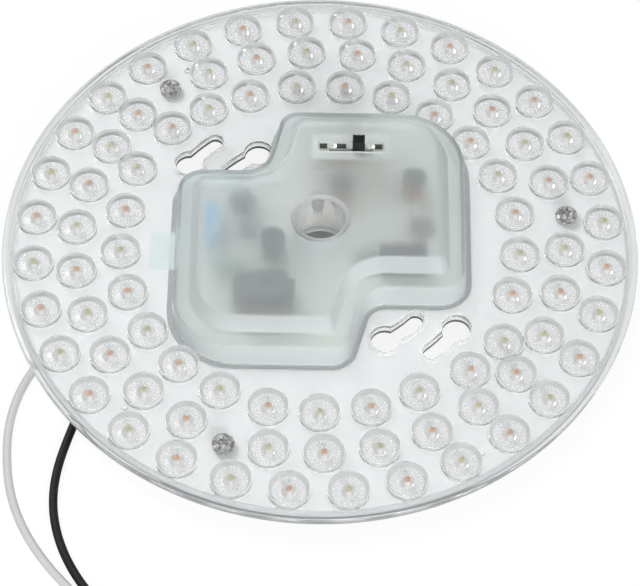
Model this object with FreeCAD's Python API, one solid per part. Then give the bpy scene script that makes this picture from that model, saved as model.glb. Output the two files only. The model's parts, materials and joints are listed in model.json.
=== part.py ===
"""Round LED module for a ceiling light, in millimetres.

A white aluminium LED board sits in the skirt of one clear lens cover, which has a dish with a raised
rim and an eye over every LED. A frosted driver cover in two steps stands in the middle, on its foot
under the lens cover, with a tube right through the board and a window for the knob of a slide switch.
Three magnets on standoffs carry the module, and two mains leads leave a clamp under the board.

Frame: the origin is the middle of the plane that the magnets stand on, +Z points out of the lens
face, +Y away from the side where the leads leave, and +X to the right.
"""
import FreeCAD, Part
import math
import os

# Magnet feet
FOOT_COUNT = 3
FOOT_INSET = 22.0             # middle of a foot from the edge of the disc
FOOT_START_ANGLE = 9.2        # degrees from +X
CUP_D = 20.0
CUP_H = 5.0
CUP_WALL = 1.2
CUP_BACK = 1.6                # steel back of the cup, tapped for the screw
MAGNET_HOLE_D = 6.5
MAGNET_CLEARANCE = 0.15
STANDOFF_D = 9.0
STANDOFF_H = 3.0

# Screws
SCREW_D = 3.0
SCREW_HEAD_D = 5.5
SCREW_HEAD_H = 2.0
SCREW_HOLE_CLEARANCE = 0.2    # radial
THREAD_CLEARANCE = 0.03       # radial, thread drawn as a plain shank
SCREW_TIP = 0.6               # past the cup's back
RECESS_SPAN = 2.8             # cross recess, tip to tip
RECESS_W = 0.7
RECESS_DEPTH = 1.2
WASHER_D = 7.3
WASHER_T = 0.5
WASHER_CLEARANCE = 0.4        # to a lens beside it

# LED board
DISC_D = 210.0                # over the skirt of the lens cover
BOARD_T = 1.2
BOARD_CLEARANCE = 0.3         # to the skirt, radial
LEAD_HOLE = (4.0, 6.6)        # over the lead clamp

# LED packages
LED_L = 3.5
LED_W = 2.8
LED_H = 0.7

# Lens cover
PLATE_GAP = 0.9               # LED board to plate
PLATE_T = 1.1
SKIRT_WALL = 1.3
SKIRT_DRAFT = 0.6             # the skirt narrows towards its lower edge
SKIRT_ABOVE_BOARD_BACK = 0.4
LIP_W = 2.8
LIP_H = 1.1                   # above the plate
LIP_CHAMFER = 0.9
LAND_W = 2.0                  # ring on which the plate stands on the board
LENS_D = 13.6                 # over the raised rim of one lens
LENS_FLOOR_D = 11.0           # floor of its dish
LENS_RIM_W = 0.3
LENS_DRAFT = 0.1
LENS_RIM_H = 1.9
LENS_EYE_D = 4.7              # eye in the middle of the dish, at its foot
LENS_EYE_TOP_D = 2.6
LENS_EYE_H = 2.3
BOSS_D = 10.0                 # under each screw
COLLAR_GAP = 0.5              # keyhole edge of the board to the collar
COLLAR_W = 0.8
COLLAR_H = 0.7
PEG_D = 2.0
PEG_CLEARANCE = 0.1
PEGS = ((18.0, 122.7), (10.9, 303.6), (16.4, 226.2))           # inset from the disc's edge, degrees

# Rings of LEDs: G is a cool white package and W a warm white one
OUTER_RING_INSET = 10.3       # from the edge of the disc
OUTER_START_ANGLE = 6.16
OUTER_PATTERN = "GW" * 16
MIDDLE_RING_INSET = 24.1
MIDDLE_PITCH_ANGLE = 12.51
MIDDLE_START_ANGLE = 9.93     # from a foot to the first LED of its group
MIDDLE_PATTERNS = ("WGWGGWGWG", "WGWGWGWGW", "GWGWGWGWG")
INNER_RING_INSET = 39.0
INNER_START_ANGLE = 11.4
INNER_PATTERN = "WGWWGWGWGWGWGWGWGWGWGWGWG"
# LEDs that stand off their ring, to clear a screw, the keyholes and the driver cover: angle, outward
MIDDLE_MOVED = {9: (140.31, 0.9)}
INNER_MOVED = {8: (125.37, 1.4), 9: (137.61, 3.1), 10: (154.76, 2.5), 21: (314.82, 3.2),
               22: (327.47, 4.9)}
LED_CLEARANCE = 0.5           # to a screw boss and to the foot of the driver cover

# Keyhole slots: they follow two circles round the centre and repeat at half a turn
KEYHOLE_HEAD_D = 9.2
KEYHOLE_SLOT_W = 5.2
KEYHOLES = ((42.9, -60.0, 16.9), (55.2, -36.0, -12.9))         # radius, head angle, slot sweep

# Driver cover: corners of its outline at the board, each with its corner radius
COVER_CORNERS = (
    (-48.1, -47.3, 21.0), (9.4, -47.3, 7.0), (15.8, -23.4, 8.0), (48.3, -23.4, 9.0),
    (48.3, 49.6, 22.0), (-13.6, 49.6, 7.0), (-19.4, 24.8, 8.0), (-48.1, 24.8, 9.0))
COVER_WALL = 1.5
COVER_STEP_H = 10.4           # board to the shoulder
COVER_H = 17.4                # board to the top
SHOULDER_OUT = 0.5            # inset of the wall's top from the outline, below its rounded edge
SHOULDER_IN = 6.3             # inset of the upper step's foot
TOP_INSET = 7.9
EDGE_ROUND = 1.3
MIN_CORNER_R = 2.0
OPENING_CLEARANCE = 0.2       # driver cover to lens cover
FOOT_W = 1.6                  # foot of the driver cover, trapped under the plate
BORE_D = 16.0
TUBE_WALL = 1.6
TUBE_DROP = 0.6               # below the back of the LED board
TUBE_CLEARANCE = 0.3

# Slide switch
SWITCH_X = 9.7                # middle of the travel
SWITCH_Y = 29.1
SWITCH_PITCH = 2.5
SWITCH_PLACE_COUNT = 5
KNOB_PLACE_COUNT = 4          # the place where the knob stands, counted from the left
KNOB_L = 4.0
KNOB_W = 3.3
KNOB_PROUD = 4.2              # above the top of the driver cover
KNOB_RIDGE_COUNT = 5
RIDGE_DEPTH = 0.35
STEM_W = 1.6
SLIDER_L = 5.6
SLIDER_W = 3.6
SLIDER_T = 1.4
SLIDE_CLEARANCE = 0.3
WINDOW_L = 20.8
WINDOW_W = 4.2
SWITCH_BOARD_T = 1.0
SWITCH_BOARD_MARGIN = 1.6     # past each end of the switch case
SWITCH_BOARD_W = 10.0
SWITCH_BOARD_BELOW_TOP = 2.8  # its upper face, below the top of the driver cover
CASE_L = 22.4
CASE_W = 6.6
CASE_H = 3.4
CASE_SHEET = 0.4
BASE_T = 1.2
WIPER_T = 0.3
PIN_D = 0.8
CHIP_L = 3.2
CHIP_W = 1.6
CHIP_H = 0.6
CHIP_PITCH = 6.35
CHIP_COUNT = 4
CHIP_ROW = 1.85               # behind the middle of the slot

# Driver board and its tray
TRAY_T = 0.4
TRAY_POST_D = 4.0
DRIVER_GAP = 0.8              # tray sheet to driver board
DRIVER_T = 1.2
DRIVER_INSET = 2.7            # from the cover's outline
POST_PLACES = ((-41.0, -14.0), (-34.0, -41.5), (41.0, 14.0), (34.0, 41.0))
BOARD_PIN_PITCH = 2.54
BOARD_PIN_COUNT = 5
BOARD_PIN_MIDDLE = (-34.0, -33.0)

# Components on the driver board: places of their middles
TRANSFORMER_AT = (-18.0, -26.0)
CORE_L = 20.0
CORE_W = 7.0
CORE_H = 11.6
CORE_LEG = 2.4
CORE_MIDDLE_LEG = 5.0
BOBBIN_W = 16.0
BOBBIN_SHEET = 0.8
BOBBIN_CLEARANCE = 0.1
WINDING_INSET = 0.7
INPUT_CAPACITOR_AT = (27.0, -9.6)
INPUT_CAPACITOR = (10.0, 16.0)          # diameter, length
OUTPUT_CAPACITOR_AT = (-15.5, -5.5)
OUTPUT_CAPACITOR = (8.0, 11.5)
CAPACITOR_BEAD = 0.5
FILM_CAPACITOR_AT = (-36.0, 3.0)
FILM_CAPACITOR = (5.0, 12.0, 9.5)
VARISTOR_AT = (-26.0, 12.4)
VARISTOR = (9.0, 3.6)
FUSE_RESISTOR_AT = (-29.0, -12.6)
FUSE_RESISTOR = (4.0, 10.5)
RECTIFIER_AT = (-24.0, 3.0)
RECTIFIER = (4.8, 4.0, 2.4)
DRIVER_IC_AT = (14.5, -7.0)
DRIVER_IC = (5.0, 3.9, 1.5)
LEG_W = 0.5
LEG_L = 1.1
LEG_T = 0.3
POWER_TRANSISTOR_AT = (33.0, 5.0)
POWER_TRANSISTOR = (6.6, 6.1, 2.3)
TAB_L = 3.4
TAB_T = 0.5
SIGNAL_TRANSISTOR_AT = (-1.1, 12.3)
SIGNAL_TRANSISTOR = (4.6, 3.6, 4.6)
SIGNAL_LEG_H = 4.0
SIGNAL_LEG_PITCH = 1.27
POWER_CHOKE_AT = (7.0, 18.8)
POWER_CHOKE = (9.0, 8.0)
LINE_CHOKE_AT = (31.0, 20.0)
LINE_CHOKE = (8.0, 10.0)
CHOKE_FLANGE = 1.2
CHOKE_WAIST = 2.0                       # radius of the drum left inside the winding

# Leads and their clamp under the board
LEAD_D = 2.8
CORE_D = 1.3
TINNED_L = 7.0
CLAMP_L = 15.0
CLAMP_W = 8.0
CLAMP_H = 5.0
CLAMP_X = -43.0
CLAMP_Y = -27.0
CLAMP_CORNER_R = 1.2
CLAMP_PEG_D = 2.4
CLAMP_PEG_SPAN = 10.8
NOZZLE_D = 4.4
NOZZLE_L = 3.0
WHITE_ROUTE = (
    (-50.0, -23.6, 5.4), (-58.5, -23.6, 5.4), (-67.6, -25.0, 4.6), (-76.4, -28.4, 3.1),
    (-84.2, -34.0, 1.9), (-90.4, -41.4, 1.4), (-94.9, -50.0, 1.4), (-97.8, -59.4, 1.4),
    (-98.9, -69.2, 1.4), (-98.4, -79.0, 1.4), (-97.0, -88.6, 1.4), (-94.0, -98.2, 1.4),
    (-89.4, -107.4, 1.4), (-83.4, -116.0, 1.4), (-76.6, -123.6, 1.4), (-69.6, -130.6, 1.4),
    (-63.0, -137.6, 1.4))
BLACK_ROUTE = (
    (-50.0, -30.4, 5.4), (-57.0, -30.4, 5.4), (-64.0, -33.2, 4.7), (-69.6, -38.8, 3.4),
    (-73.2, -46.4, 2.2), (-75.4, -55.2, 1.6), (-77.6, -64.2, 1.4), (-80.2, -73.2, 1.4),
    (-82.2, -82.2, 1.4), (-82.9, -91.4, 1.4), (-81.9, -100.6, 1.4), (-79.3, -109.4, 1.4),
    (-75.2, -117.8, 1.4), (-70.0, -125.4, 1.4), (-63.6, -131.8, 1.4), (-57.2, -137.8, 1.4))

# Heights and radii that follow from the sizes above
DISC_R = DISC_D / 2
FOOT_RING_R = DISC_R - FOOT_INSET
OUTER_RING_R = DISC_R - OUTER_RING_INSET
MIDDLE_RING_R = DISC_R - MIDDLE_RING_INSET
INNER_RING_R = DISC_R - INNER_RING_INSET
Z_BOARD_BACK = CUP_H + STANDOFF_H
Z_BOARD = Z_BOARD_BACK + BOARD_T
Z_PLATE_BACK = Z_BOARD + PLATE_GAP
Z_PLATE = Z_PLATE_BACK + PLATE_T
Z_SKIRT = Z_BOARD_BACK + SKIRT_ABOVE_BOARD_BACK
Z_SHOULDER = Z_BOARD + COVER_STEP_H
Z_COVER = Z_BOARD + COVER_H
Z_TUBE = Z_BOARD_BACK - TUBE_DROP
TUBE_R = BORE_D / 2 + TUBE_WALL
TUBE_HOLE_R = TUBE_R + TUBE_CLEARANCE
BOARD_R = DISC_R - SKIRT_DRAFT - SKIRT_WALL - BOARD_CLEARANCE
SCREW_HOLE_R = SCREW_D / 2 + SCREW_HOLE_CLEARANCE
Z_TRAY = Z_BOARD + TRAY_T
Z_DRIVER_BACK = Z_TRAY + DRIVER_GAP
Z_DRIVER = Z_DRIVER_BACK + DRIVER_T
Z_SWITCH_BOARD = Z_COVER - SWITCH_BOARD_BELOW_TOP
Z_CASE_TOP = Z_SWITCH_BOARD - SWITCH_BOARD_T
Z_CASE = Z_CASE_TOP - CASE_H
Z_BASE = Z_CASE - BASE_T
SWITCH_BOARD_L = CASE_L + 2 * SWITCH_BOARD_MARGIN
SLOT_L = (SWITCH_PLACE_COUNT - 1) * SWITCH_PITCH + KNOB_L + 2 * SLIDE_CLEARANCE
SLOT_W = STEM_W + 2 * SLIDE_CLEARANCE
KNOB_X = SWITCH_X + (KNOB_PLACE_COUNT - (SWITCH_PLACE_COUNT + 1) / 2) * SWITCH_PITCH


# Small helpers

def vec(x, y, z=0.0):
    return FreeCAD.Vector(x, y, z)


def polar(radius, degrees):
    angle = math.radians(degrees)
    return radius * math.cos(angle), radius * math.sin(angle)


def cylinder(radius, low, high, at=(0.0, 0.0)):
    return Part.makeCylinder(radius, high - low, vec(at[0], at[1], low))


def tube(outer, inner, low, high, at=(0.0, 0.0)):
    return cylinder(outer, low, high, at).cut(cylinder(inner, low, high, at))


def block(length, width, low, high, at=(0.0, 0.0)):
    corner = vec(at[0] - length / 2, at[1] - width / 2, low)
    return Part.makeBox(length, width, high - low, corner)


def turned(points):
    """Solid of revolution about Z of a closed (radius, z) profile."""
    ring = [vec(r, 0, z) for r, z in points]
    face = Part.Face(Part.makePolygon(ring + ring[:1]))
    return face.revolve(vec(0, 0, 0), vec(0, 0, 1), 360)


def joined(shapes):
    first, *rest = shapes
    return first.multiFuse(rest).removeSplitter() if rest else first


def placed(shape, at, degrees=0.0):
    copy = shape.copy()
    copy.rotate(vec(0, 0, 0), vec(0, 0, 1), degrees)
    copy.translate(vec(at[0], at[1], 0))
    return copy


def pin_places(count, pitch, middle):
    """Places of a row of pins along X."""
    x, y = middle
    return [(x + pitch * (i - (count - 1) / 2), y) for i in range(count)]


def lying(radius, length, low, at):
    """Cylinder along X that lies at a height."""
    return Part.makeCylinder(radius, length, vec(at[0] - length / 2, at[1], low + radius), vec(1, 0, 0))


def foot_places():
    return [polar(FOOT_RING_R, FOOT_START_ANGLE + 360.0 / FOOT_COUNT * i) for i in range(FOOT_COUNT)]


def peg_places():
    return [polar(DISC_R - inset, angle) for inset, angle in PEGS]


# Rounded outline of the driver cover

def inset_corners(inset):
    """Corners of the cover's outline moved inwards, with radii that keep the wall parallel."""
    count = len(COVER_CORNERS)
    edges = []
    for i, (x, y, _) in enumerate(COVER_CORNERS):
        nx, ny, _ = COVER_CORNERS[(i + 1) % count]
        length = math.hypot(nx - x, ny - y)
        dx, dy = (nx - x) / length, (ny - y) / length
        edges.append((x - dy * inset, y + dx * inset, dx, dy))
    corners = []
    for i, (_, _, radius) in enumerate(COVER_CORNERS):
        ax, ay, adx, ady = edges[i - 1]
        bx, by, bdx, bdy = edges[i]
        turn = adx * bdy - ady * bdx
        along = ((bx - ax) * bdy - (by - ay) * bdx) / turn
        grown = radius - inset if turn > 0 else radius + inset
        corners.append((ax + adx * along, ay + ady * along, max(grown, MIN_CORNER_R)))
    return corners


def outline_wire(inset, z):
    """The cover's outline at one height: straight sides joined by tangent arcs."""
    corners = inset_corners(inset)
    count = len(corners)
    arcs = []
    for i, (x, y, radius) in enumerate(corners):
        px, py, _ = corners[i - 1]
        nx, ny, _ = corners[(i + 1) % count]
        back = vec(px - x, py - y).normalize()
        ahead = vec(nx - x, ny - y).normalize()
        half = back.getAngle(ahead) / 2
        reach = radius / math.tan(half)
        middle = (back + ahead).normalize() * (radius / math.sin(half) - radius)
        point = vec(x, y, z)
        arcs.append((point + back * reach, point + middle, point + ahead * reach))
    parts = []
    for i, (start, middle, end) in enumerate(arcs):
        parts.append(Part.Arc(start, middle, end).toShape())
        parts.append(Part.LineSegment(end, arcs[(i + 1) % count][0]).toShape())
    return Part.Wire(parts)


def outline_prism(inset, low, high):
    return Part.Face(outline_wire(inset, low)).extrude(vec(0, 0, high - low))


def outline_loft(levels):
    """Solid through the outline at (inset, height) levels, with straight walls between them."""
    return Part.makeLoft([outline_wire(inset, z) for inset, z in levels], True, True)


# Keyhole slots

def keyhole(radius, head_angle, sweep, margin, low, high):
    """Round head with a narrower slot that follows a circle round the centre."""
    head = cylinder(KEYHOLE_HEAD_D / 2 + margin, low, high, polar(radius, head_angle))
    half = KEYHOLE_SLOT_W / 2 + margin
    end = cylinder(half, low, high, polar(radius, head_angle + sweep))
    start_angle = min(head_angle, head_angle + sweep)
    sector = Part.makeCylinder(radius + half, high - low, vec(0, 0, low), vec(0, 0, 1), abs(sweep))
    core = Part.makeCylinder(radius - half, high - low, vec(0, 0, low), vec(0, 0, 1), abs(sweep))
    arm = sector.cut(core)
    arm.rotate(vec(0, 0, 0), vec(0, 0, 1), start_angle)
    return joined([head, arm, end])


def keyholes(margin, low, high):
    cuts = []
    for radius, head_angle, sweep in KEYHOLES:
        for half_turn in (0.0, 180.0):
            cuts.append(keyhole(radius, head_angle + half_turn, sweep, margin, low, high))
    return cuts


# LED places

def even_angles(start, pattern):
    return [start + 360.0 / len(pattern) * i for i in range(len(pattern))]


def middle_angles():
    """Angles of the middle ring, which has a group of LEDs after each foot."""
    angles = []
    for foot, pattern in enumerate(MIDDLE_PATTERNS):
        first = FOOT_START_ANGLE + 360.0 / FOOT_COUNT * foot + MIDDLE_START_ANGLE
        angles += [first + MIDDLE_PITCH_ANGLE * i for i in range(len(pattern))]
    return angles


def led_places():
    """(x, y, angle, colour letter) of every LED, ring by ring."""
    rings = (
        (OUTER_RING_R, even_angles(OUTER_START_ANGLE, OUTER_PATTERN), OUTER_PATTERN, {}),
        (MIDDLE_RING_R, middle_angles(), "".join(MIDDLE_PATTERNS), MIDDLE_MOVED),
        (INNER_RING_R, even_angles(INNER_START_ANGLE, INNER_PATTERN), INNER_PATTERN, INNER_MOVED))
    taken = Part.makeCompound(
        [cylinder(BOSS_D / 2, Z_BOARD, Z_PLATE_BACK, at) for at in foot_places()]
        + [outline_prism(-FOOT_W, Z_BOARD, Z_PLATE_BACK)] + keyholes(0.0, Z_BOARD, Z_PLATE_BACK))
    places = []
    for ring_r, angles, pattern, moved in rings:
        for i, (even, letter) in enumerate(zip(angles, pattern)):
            angle, outward = moved.get(i, (even, 0.0))
            x, y = polar(ring_r + outward, angle)
            gap = taken.distToShape(Part.Vertex(x, y, Z_BOARD))[0]
            if gap > LED_L / 2 + LED_CLEARANCE:
                places.append((x, y, angle, letter))
    return places


def led_group(places, letter):
    package = block(LED_W, LED_L, Z_BOARD, Z_BOARD + LED_H)
    return Part.makeCompound(
        [placed(package, (x, y), angle) for x, y, angle, colour in places if colour == letter])


# Boards and covers

def led_board():
    board = cylinder(BOARD_R, Z_BOARD_BACK, Z_BOARD)
    cuts = [cylinder(TUBE_HOLE_R, Z_BOARD_BACK, Z_BOARD)]
    cuts += keyholes(0.0, Z_BOARD_BACK, Z_BOARD)
    cuts += [cylinder(SCREW_HOLE_R, Z_BOARD_BACK, Z_BOARD, at) for at in foot_places()]
    cuts += [cylinder(PEG_D / 2, Z_BOARD_BACK, Z_BOARD, at) for at in peg_places()]
    cuts.append(block(*LEAD_HOLE, Z_BOARD_BACK, Z_BOARD, (CLAMP_X, CLAMP_Y)))
    cuts += [cylinder(CLAMP_PEG_D / 2, Z_BOARD_BACK, Z_BOARD, at) for at in clamp_peg_places()]
    return board.cut(cuts)


def plate_profile():
    """Section of the lens cover from its centre to the skirt."""
    skirt_r = DISC_R - SKIRT_DRAFT
    lip_top = Z_PLATE + LIP_H
    land_r = skirt_r - SKIRT_WALL - LAND_W
    return (
        (0, Z_PLATE_BACK), (land_r, Z_PLATE_BACK), (land_r, Z_BOARD),
        (skirt_r - SKIRT_WALL, Z_BOARD), (skirt_r - SKIRT_WALL, Z_SKIRT), (skirt_r, Z_SKIRT),
        (DISC_R, Z_PLATE), (DISC_R, lip_top - LIP_CHAMFER), (DISC_R - LIP_CHAMFER, lip_top),
        (DISC_R - LIP_W, lip_top), (DISC_R - LIP_W - LIP_H, Z_PLATE), (0, Z_PLATE))


def lens():
    """Raised rim round a dish that is open at the top, and the eye in its middle, over one LED."""
    root = Z_PLATE - PLATE_T / 2
    rim_top = Z_PLATE + LENS_RIM_H
    rim_r = LENS_D / 2 - LENS_DRAFT
    floor_r = LENS_FLOOR_D / 2
    rim = turned(((floor_r, root), (LENS_D / 2, root), (LENS_D / 2, Z_PLATE), (rim_r, rim_top),
                  (rim_r - LENS_RIM_W, rim_top), (floor_r, Z_PLATE)))
    eye_r = LENS_EYE_D / 2
    eye = turned(((0, root), (eye_r, root), (eye_r, Z_PLATE),
                  (LENS_EYE_TOP_D / 2, Z_PLATE + LENS_EYE_H), (0, Z_PLATE + LENS_EYE_H)))
    return [rim, eye]


def lens_cover(places):
    collar_out = COLLAR_GAP + COLLAR_W
    solids = [turned(plate_profile())]
    solids += keyholes(collar_out, Z_BOARD, Z_PLATE + COLLAR_H)
    solids += [cylinder(BOSS_D / 2, Z_BOARD, Z_PLATE, at) for at in foot_places()]
    solids += [placed(piece, (x, y)) for piece in lens() for x, y, _, _ in places]
    peg_r = PEG_D / 2 - PEG_CLEARANCE
    solids += [cylinder(peg_r, Z_BOARD_BACK, Z_PLATE_BACK, at) for at in peg_places()]
    above = Z_PLATE + max(LENS_RIM_H, LENS_EYE_H)
    cuts = keyholes(COLLAR_GAP, Z_BOARD_BACK, above)
    for at in foot_places():
        cuts.append(cylinder(SCREW_HOLE_R, Z_BOARD_BACK, above, at))
        cuts.append(cylinder(WASHER_D / 2 + WASHER_CLEARANCE, Z_PLATE, above, at))
    cuts.append(outline_prism(-OPENING_CLEARANCE, Z_BOARD_BACK, above))
    cuts.append(outline_prism(-FOOT_W - OPENING_CLEARANCE, Z_BOARD_BACK, Z_PLATE_BACK))
    return joined(solids).cut(cuts)


def driver_cover():
    shoulder_in = Z_SHOULDER - COVER_WALL
    top_in = Z_COVER - COVER_WALL
    outside = outline_loft((
        (0.0, Z_BOARD), (SHOULDER_OUT, Z_SHOULDER - EDGE_ROUND),
        (SHOULDER_OUT + EDGE_ROUND, Z_SHOULDER), (SHOULDER_IN, Z_SHOULDER + COVER_WALL / 5),
        (TOP_INSET, Z_COVER - EDGE_ROUND / 2), (TOP_INSET + EDGE_ROUND, Z_COVER)))
    inside = outline_loft((
        (COVER_WALL, Z_BOARD), (SHOULDER_OUT + COVER_WALL, shoulder_in),
        (SHOULDER_IN + COVER_WALL, shoulder_in + COVER_WALL / 5), (TOP_INSET + COVER_WALL, top_in)))
    foot = outline_prism(-FOOT_W, Z_BOARD, Z_PLATE_BACK - OPENING_CLEARANCE)
    foot = foot.cut(outline_prism(COVER_WALL, Z_BOARD, Z_PLATE_BACK))
    shell = outside.cut(inside).fuse([foot, cylinder(TUBE_R, Z_TUBE, Z_COVER)]).removeSplitter()
    window = block(WINDOW_L, WINDOW_W, top_in - COVER_WALL, Z_COVER, (SWITCH_X, SWITCH_Y))
    return shell.cut([cylinder(BORE_D / 2, Z_TUBE, Z_COVER), window])


def insulation_tray():
    sheet = outline_prism(DRIVER_INSET, Z_BOARD, Z_TRAY)
    posts = [cylinder(TRAY_POST_D / 2, Z_BOARD, Z_DRIVER_BACK, at) for at in POST_PLACES]
    cuts = [cylinder(TUBE_HOLE_R, Z_BOARD, Z_TRAY)]
    cuts.append(block(*LEAD_HOLE, Z_BOARD, Z_TRAY, (CLAMP_X, CLAMP_Y)))
    cuts += [cylinder(PIN_D, Z_BOARD, Z_TRAY, at) for at in board_pin_places()]
    return joined([sheet] + posts).cut(cuts)


def driver_board():
    board = outline_prism(DRIVER_INSET, Z_DRIVER_BACK, Z_DRIVER)
    return board.cut([cylinder(TUBE_HOLE_R, Z_DRIVER_BACK, Z_DRIVER)])


def board_pin_places():
    return pin_places(BOARD_PIN_COUNT, BOARD_PIN_PITCH, BOARD_PIN_MIDDLE)


def board_pins():
    return Part.makeCompound([cylinder(PIN_D / 2, Z_BOARD, Z_DRIVER_BACK, at) for at in board_pin_places()])


# Slide switch

def at_switch(dx=0.0, dy=0.0):
    return SWITCH_X + dx, SWITCH_Y + dy


def switch_board():
    at = at_switch(0.0, (SWITCH_BOARD_W - CASE_W) / 2)
    board = block(SWITCH_BOARD_L, SWITCH_BOARD_W, Z_CASE_TOP, Z_SWITCH_BOARD, at)
    return board.cut(block(SLOT_L, SLOT_W, Z_CASE_TOP, Z_SWITCH_BOARD, at_switch()))


def switch_board_pins():
    """Pins that carry the small board on the driver board, two at each end."""
    ends = pin_places(2, SWITCH_BOARD_L - 2 * PIN_D, at_switch())
    rows = [(x, SWITCH_Y + dy) for x, _ in ends for dy in (0.0, BOARD_PIN_PITCH)]
    return Part.makeCompound([cylinder(PIN_D / 2, Z_DRIVER, Z_CASE_TOP, at) for at in rows])


def chip_resistors():
    chips = [block(CHIP_L, CHIP_W, Z_SWITCH_BOARD, Z_SWITCH_BOARD + CHIP_H, at)
             for at in pin_places(CHIP_COUNT, CHIP_PITCH, at_switch(0.0, CHIP_ROW))]
    return Part.makeCompound(chips)


def switch_case():
    can = block(CASE_L, CASE_W, Z_CASE, Z_CASE_TOP, at_switch())
    room_l = CASE_L - 2 * CASE_SHEET
    room_w = CASE_W - 2 * CASE_SHEET
    room = block(room_l, room_w, Z_CASE, Z_CASE_TOP - CASE_SHEET, at_switch())
    slot = block(SLOT_L, SLOT_W, Z_CASE, Z_CASE_TOP, at_switch())
    return can.cut([room, slot])


def switch_base():
    return block(CASE_L, CASE_W, Z_BASE, Z_CASE, at_switch())


def switch_knob():
    """Ridged cap over the chips, stem through the slots and slider inside the case."""
    top = Z_COVER + KNOB_PROUD
    cap_low = Z_SWITCH_BOARD + CHIP_H + SLIDE_CLEARANCE
    slider_top = Z_CASE_TOP - CASE_SHEET - SLIDE_CLEARANCE
    at = (KNOB_X, SWITCH_Y)
    cap = block(KNOB_L, KNOB_W, cap_low, top, at)
    stem = block(KNOB_L, STEM_W, slider_top, cap_low, at)
    slider = block(SLIDER_L, SLIDER_W, slider_top - SLIDER_T, slider_top, at)
    pitch = KNOB_L / KNOB_RIDGE_COUNT
    grooves = []
    for i in range(KNOB_RIDGE_COUNT - 1):
        x = KNOB_X - KNOB_L / 2 + pitch * (i + 1)
        half = pitch / 3
        points = [vec(x - half, SWITCH_Y - KNOB_W / 2, top), vec(x, SWITCH_Y - KNOB_W / 2, top - RIDGE_DEPTH),
                  vec(x + half, SWITCH_Y - KNOB_W / 2, top)]
        grooves.append(Part.Face(Part.makePolygon(points + points[:1])).extrude(vec(0, KNOB_W, 0)))
    return joined([cap, stem, slider]).cut(grooves)


def switch_wiper():
    """Sprung contact strip under the slider."""
    slider_low = Z_CASE_TOP - CASE_SHEET - SLIDE_CLEARANCE - SLIDER_T
    return block(SLIDER_L, SLIDER_W / 2, slider_low - WIPER_T, slider_low, (KNOB_X, SWITCH_Y))


def switch_pins():
    places = pin_places(SWITCH_PLACE_COUNT, SWITCH_PITCH, at_switch())
    return Part.makeCompound([cylinder(PIN_D / 2, Z_DRIVER, Z_BASE, at) for at in places])


# Magnet feet and screws

def magnet_cup(at):
    cup = cylinder(CUP_D / 2, 0.0, CUP_H, at)
    room = cylinder(CUP_D / 2 - CUP_WALL, 0.0, CUP_H - CUP_BACK, at)
    thread = cylinder(SCREW_D / 2 + THREAD_CLEARANCE, 0.0, CUP_H, at)
    return cup.cut([room, thread])


def ring_magnet(at):
    outer = CUP_D / 2 - CUP_WALL - MAGNET_CLEARANCE
    return tube(outer, MAGNET_HOLE_D / 2, 0.0, CUP_H - CUP_BACK, at)


def standoff(at):
    return tube(STANDOFF_D / 2, SCREW_HOLE_R, CUP_H, Z_BOARD_BACK, at)


def magnet_screw(at):
    """Pan head screw with a cross recess, from the plate down into the cup's back."""
    seat = Z_PLATE + WASHER_T
    head_r = SCREW_HEAD_D / 2
    tip = CUP_H - CUP_BACK - SCREW_TIP
    body = turned((
        (0, tip), (SCREW_D / 2, tip), (SCREW_D / 2, seat), (head_r, seat),
        (head_r, seat + SCREW_HEAD_H * 0.55), (head_r * 0.7, seat + SCREW_HEAD_H * 0.9),
        (0, seat + SCREW_HEAD_H)))
    floor = seat + SCREW_HEAD_H - RECESS_DEPTH
    top = seat + SCREW_HEAD_H
    recess = block(RECESS_SPAN, RECESS_W, floor, top).fuse(block(RECESS_W, RECESS_SPAN, floor, top))
    return placed(body.cut(recess), at)


def screw_washers():
    return Part.makeCompound(
        [tube(WASHER_D / 2, SCREW_HOLE_R, Z_PLATE, Z_PLATE + WASHER_T, at) for at in foot_places()])


# Components on the driver board

def transformer():
    """E core, bobbin and winding round the core's middle leg, which stands upright."""
    at = TRANSFORMER_AT
    yoke = Z_DRIVER + CORE_LEG
    ceiling = Z_DRIVER + CORE_H - CORE_LEG
    window = (CORE_L - 2 * CORE_LEG - CORE_MIDDLE_LEG) / 2
    core = block(CORE_L, CORE_W, Z_DRIVER, Z_DRIVER + CORE_H, at)
    middles = pin_places(2, CORE_MIDDLE_LEG + window, at)
    core = core.cut([block(window, CORE_W, yoke, ceiling, middle) for middle in middles])
    low = yoke + BOBBIN_CLEARANCE
    high = ceiling - BOBBIN_CLEARANCE
    flange_l = CORE_L - 2 * CORE_LEG - 2 * BOBBIN_CLEARANCE
    hole_l = CORE_MIDDLE_LEG + 2 * BOBBIN_CLEARANCE
    hole_w = CORE_W + 2 * BOBBIN_CLEARANCE
    sleeve_l = hole_l + 2 * BOBBIN_SHEET
    sleeve_w = hole_w + 2 * BOBBIN_SHEET
    bobbin = joined([
        block(flange_l, BOBBIN_W, low, low + BOBBIN_SHEET, at),
        block(flange_l, BOBBIN_W, high - BOBBIN_SHEET, high, at),
        block(sleeve_l, sleeve_w, low, high, at)]).cut(block(hole_l, hole_w, low, high, at))
    winding = block(flange_l - WINDING_INSET, BOBBIN_W - WINDING_INSET, low + BOBBIN_SHEET,
                    high - BOBBIN_SHEET, at).cut(block(sleeve_l, sleeve_w, low, high, at))
    return core, bobbin, winding


def can(diameter, length):
    """Aluminium capacitor can on its rubber end, with the groove that holds the seal."""
    r = diameter / 2
    bead = CAPACITOR_BEAD
    return turned(((0, 0), (r, 0), (r, 2 * bead), (r - bead, 3 * bead), (r, 4 * bead),
                   (r, length - bead), (r - bead, length), (0, length)))


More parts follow.
